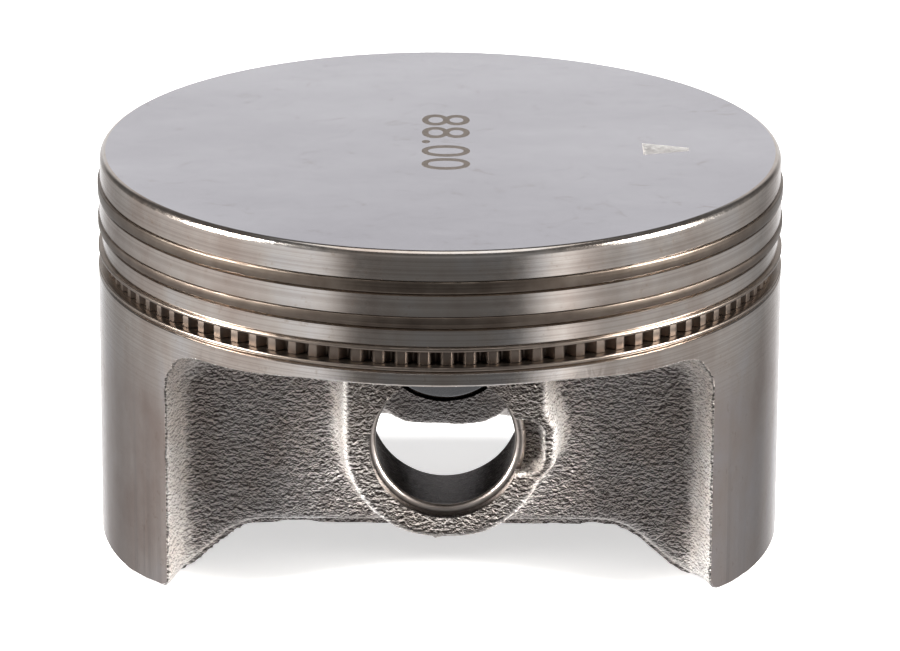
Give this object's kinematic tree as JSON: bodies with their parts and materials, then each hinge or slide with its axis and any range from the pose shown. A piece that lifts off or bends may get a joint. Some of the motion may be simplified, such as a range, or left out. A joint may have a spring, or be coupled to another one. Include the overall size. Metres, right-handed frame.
{
  "type": "piston",
  "caption": "Flat-crowned four-stroke piston with short skirts, side webs under an arch, compression and oil rings in its grooves, a circlip and a sliding gudgeon pin.",
  "frame": {"origin": "on the piston axis, at the height of the skirt feet", "axes": "+Z along the piston axis to the crown, Y along the gudgeon pin with +Y to the boss that the pin is drawn out of, thrust skirts on +X and -X, the crown's fitting mark pointing to +X, the pin axis 0.75 mm towards +X of the piston axis"},
  "size_m": [0.088, 0.1095, 0.0509],
  "materials": {
    "cast_aluminium": "turned and sand cast",
    "pin_steel": "ground",
    "spring_wire": "drawn wire",
    "nitrided_steel": "nitrided",
    "phosphated_iron": "phosphated",
    "rail_steel": "nitrided",
    "expander_steel": "formed strip"
  },
  "bodies": {
    "piston": {"piston_body": "cast_aluminium", "circlip": "spring_wire"},
    "pin": {"gudgeon_pin": "pin_steel"},
    "top_ring_body": {"top_ring": "nitrided_steel"},
    "second_ring_body": {"second_ring": "phosphated_iron"},
    "oil_rail_upper_body": {"oil_rail_upper": "rail_steel"},
    "oil_expander_body": {"oil_expander": "expander_steel"},
    "oil_rail_lower_body": {"oil_rail_lower": "rail_steel"}
  },
  "joints": [
    {"name": "pin_slide", "type": "slide", "parent": "piston", "child": "pin", "axis": [0, -1, 0], "range_m": [0, 0.04]},
    {"name": "top_ring_turn", "type": "hinge", "parent": "piston", "child": "top_ring_body", "pos_m": [0, 0, 0.04634], "axis": [0, 0, 1], "continuous": true},
    {"name": "second_ring_turn", "type": "hinge", "parent": "piston", "child": "second_ring_body", "pos_m": [0, 0, 0.04181], "axis": [0, 0, 1], "continuous": true},
    {"name": "oil_rail_upper_turn", "type": "hinge", "parent": "piston", "child": "oil_rail_upper_body", "pos_m": [0, 0, 0.03834], "axis": [0, 0, 1], "continuous": true},
    {"name": "oil_expander_turn", "type": "hinge", "parent": "piston", "child": "oil_expander_body", "pos_m": [0, 0, 0.0371], "axis": [0, 0, 1], "continuous": true},
    {"name": "oil_rail_lower_turn", "type": "hinge", "parent": "piston", "child": "oil_rail_lower_body", "pos_m": [0, 0, 0.03585], "axis": [0, 0, 1], "continuous": true}
  ]
}
